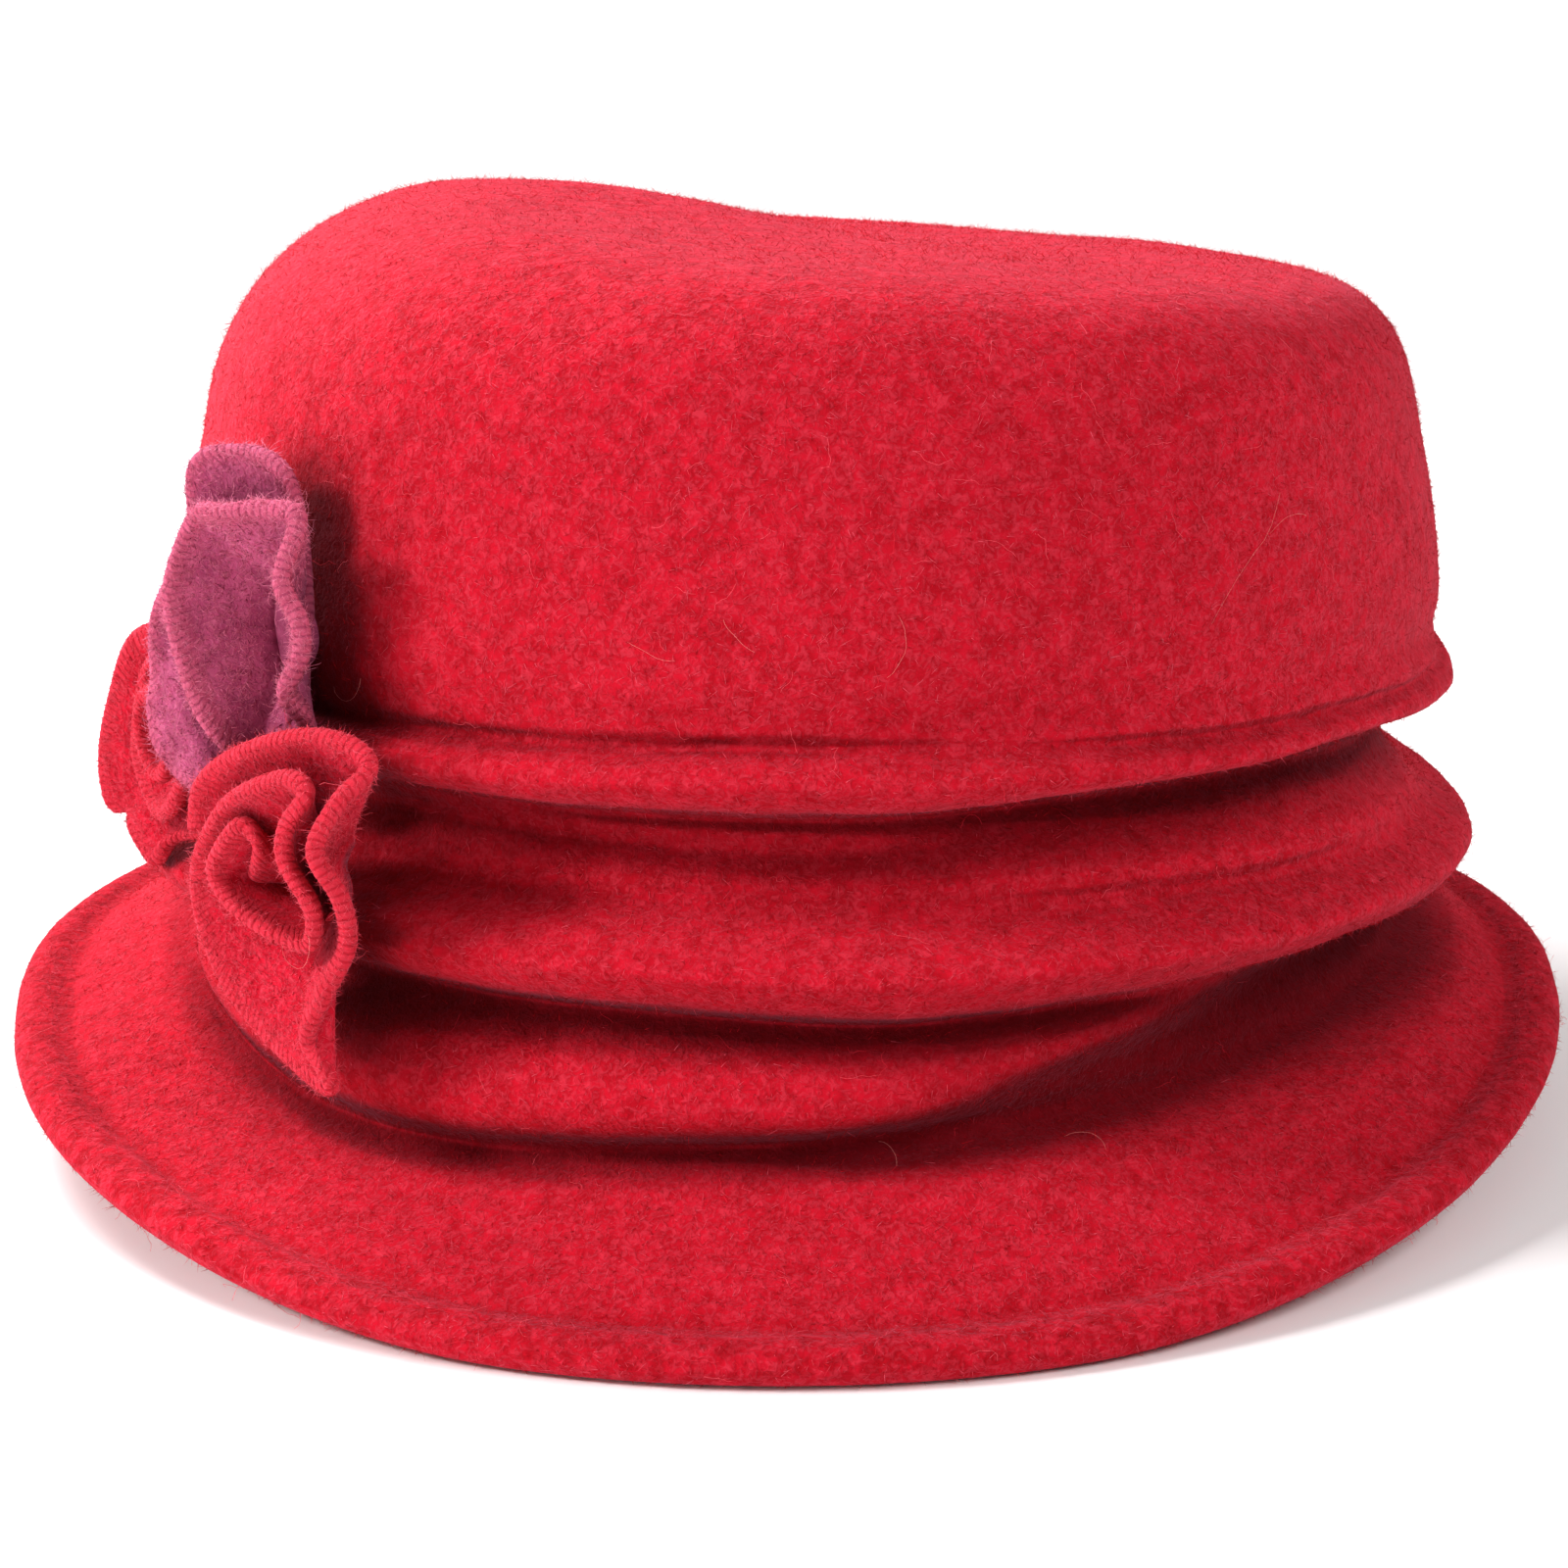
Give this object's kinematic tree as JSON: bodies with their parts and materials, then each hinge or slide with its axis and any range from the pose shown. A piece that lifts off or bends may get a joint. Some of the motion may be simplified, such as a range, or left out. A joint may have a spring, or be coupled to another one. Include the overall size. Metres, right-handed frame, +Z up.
{
  "type": "cloche hat",
  "caption": "Soft boiled-wool cloche hat with a flat-domed crown, horizontal tucks round the band, a bell brim with a turned hem, and wound felt rosettes at one side.",
  "frame": {"origin": "middle of the hat's box, on the surface that the brim rests on", "axes": "+Z up through the crown, -Y the way the wearer faces, +X the wearer's left; the rosettes are on the wearer's right front"},
  "size_m": [0.2556, 0.2738, 0.1431],
  "materials": {
    "red_wool": "matte boiled wool with a short nap, slightly mottled",
    "red_strip": "matte boiled wool strip with a corded overlocked edge",
    "plum_strip": "matte boiled wool strip with a corded overlocked edge"
  },
  "bodies": {
    "root": {"hat_body": "red_wool", "rosette_front": "red_strip", "rosette_plum": "plum_strip", "rosette_side": "red_strip"}
  },
  "joints": []
}
